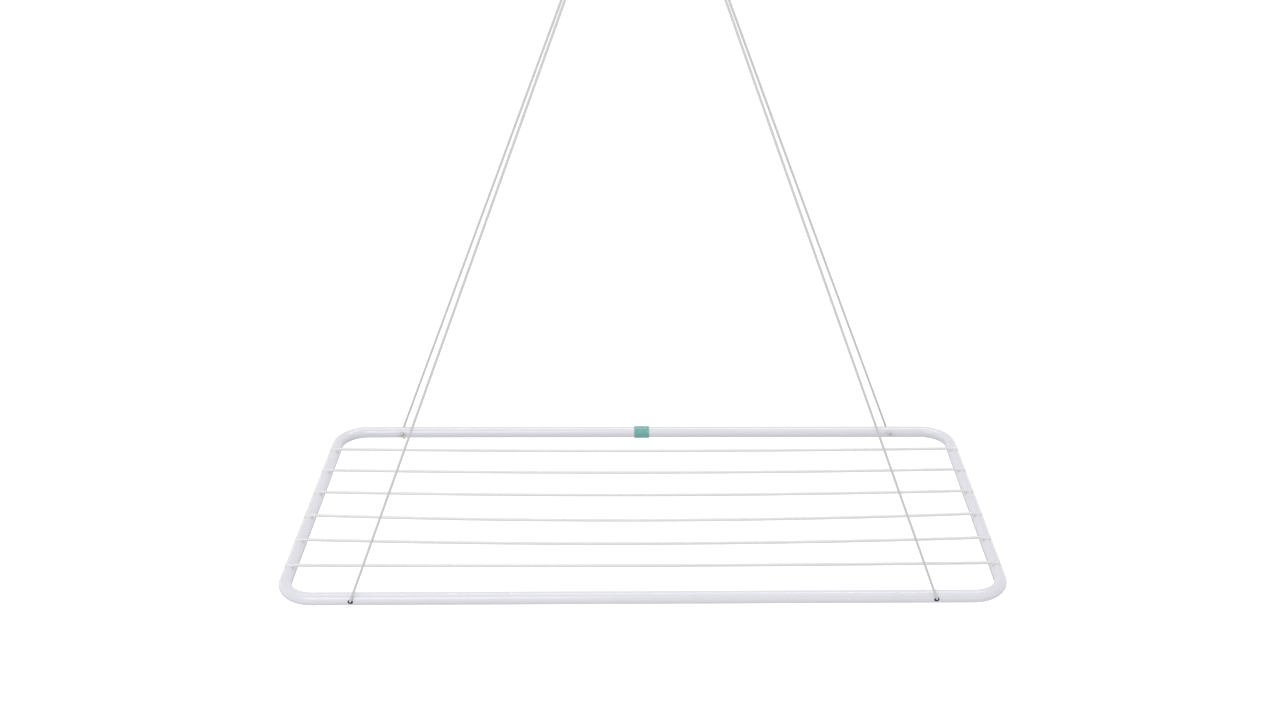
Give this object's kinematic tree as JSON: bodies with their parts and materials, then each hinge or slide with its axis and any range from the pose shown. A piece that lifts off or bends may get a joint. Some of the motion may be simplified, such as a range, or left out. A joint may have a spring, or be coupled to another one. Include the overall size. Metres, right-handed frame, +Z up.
{
  "type": "ceiling mounted pulley rack",
  "caption": "Ceiling mounted pulley rack: rounded tube frame strung with drying wires, hung on cords that run over sheaves in a ceiling unit to a pull yoke.",
  "frame": {"origin": "on the ceiling face of the ceiling plate, straight above the middle of the rack, with the rack at its lowest", "axes": "+Z up into the ceiling, +X along the rack towards the side that the cords are pulled to, -Y the front"},
  "size_m": [0.914, 0.4634, 0.9811],
  "materials": {
    "white_coat": "semi-gloss powder coat",
    "wire_coat": "satin powder coat",
    "teal_plastic": "glossy soft plastic",
    "cord": "braided polyester",
    "coated_steel": "semi-gloss powder coat",
    "zinc_steel": "bright zinc plate",
    "spring_steel": "phosphated",
    "inner_steel": "plain",
    "white_nylon": "moulded nylon",
    "brass": "turned"
  },
  "bodies": {
    "ceiling_unit": {"ceiling_plate": "coated_steel", "sheave_bracket": "zinc_steel", "bracket_rivets": "zinc_steel", "axle_pin": "zinc_steel", "retaining_clip": "spring_steel", "spacer_washers": "zinc_steel", "cord_guide": "white_nylon", "cord_run_front_left": "cord", "cord_run_front_right": "cord", "cord_run_back_right": "cord", "cord_run_back_left": "cord", "cord_top_front_left": "cord", "cord_top_front_right": "cord", "cord_top_back_right": "cord", "cord_top_back_left": "cord"},
    "rack": {"frame_tube": "white_coat", "joint_sleeve": "teal_plastic", "joint_spigot": "inner_steel", "drying_wire_1": "wire_coat", "drying_wire_2": "wire_coat", "drying_wire_3": "wire_coat", "drying_wire_4": "wire_coat", "drying_wire_5": "wire_coat", "drying_wire_6": "wire_coat", "cord_loop_front_left": "cord", "cord_knot_front_left": "cord", "cord_loop_front_right": "cord", "cord_knot_front_right": "cord", "cord_loop_back_right": "cord", "cord_knot_back_right": "cord", "cord_loop_back_left": "cord", "cord_knot_back_left": "cord"},
    "sheave_front_left": {"sheave_front_left": "white_nylon", "bush_front_left": "brass"},
    "sheave_front_right": {"sheave_front_right": "white_nylon", "bush_front_right": "brass"},
    "sheave_back_right": {"sheave_back_right": "white_nylon", "bush_back_right": "brass"},
    "sheave_back_left": {"sheave_back_left": "white_nylon", "bush_back_left": "brass"},
    "yoke": {"pull_yoke": "white_nylon", "cord_end_front_left": "cord", "stopper_knot_front_left": "cord", "cord_end_front_right": "cord", "stopper_knot_front_right": "cord", "cord_end_back_right": "cord", "stopper_knot_back_right": "cord", "cord_end_back_left": "cord", "stopper_knot_back_left": "cord"}
  },
  "joints": [
    {"name": "rack_lift", "type": "slide", "parent": "ceiling_unit", "child": "rack", "axis": [0, 0, 1], "range_m": [0, 0.64], "deforming": ["cord_run_front_left", "cord_run_front_right", "cord_run_back_right", "cord_run_back_left"]},
    {"name": "sheave_spin_front_left", "type": "hinge", "parent": "ceiling_unit", "child": "sheave_front_left", "pos_m": [0.01693, -0.015, -0.032], "axis": [0, 1, 0], "continuous": true},
    {"name": "sheave_spin_front_right", "type": "hinge", "parent": "ceiling_unit", "child": "sheave_front_right", "pos_m": [0.01693, -0.005, -0.032], "axis": [0, 1, 0], "continuous": true},
    {"name": "sheave_spin_back_right", "type": "hinge", "parent": "ceiling_unit", "child": "sheave_back_right", "pos_m": [0.01693, 0.005, -0.032], "axis": [0, 1, 0], "continuous": true},
    {"name": "sheave_spin_back_left", "type": "hinge", "parent": "ceiling_unit", "child": "sheave_back_left", "pos_m": [0.01693, 0.015, -0.032], "axis": [0, 1, 0], "continuous": true},
    {"name": "yoke_pull", "type": "slide", "parent": "ceiling_unit", "child": "yoke", "axis": [1, 0, 0], "range_m": [0, 0.53]}
  ],
  "couplings": [
    {"joint": "sheave_spin_front_left", "follows": "rack_lift", "rad_per_m": 50.643},
    {"joint": "sheave_spin_front_right", "follows": "rack_lift", "rad_per_m": 50.643},
    {"joint": "sheave_spin_back_right", "follows": "rack_lift", "rad_per_m": 50.643},
    {"joint": "sheave_spin_back_left", "follows": "rack_lift", "rad_per_m": 50.643},
    {"joint": "yoke_pull", "follows": "rack_lift", "ratio": 0.8002}
  ]
}
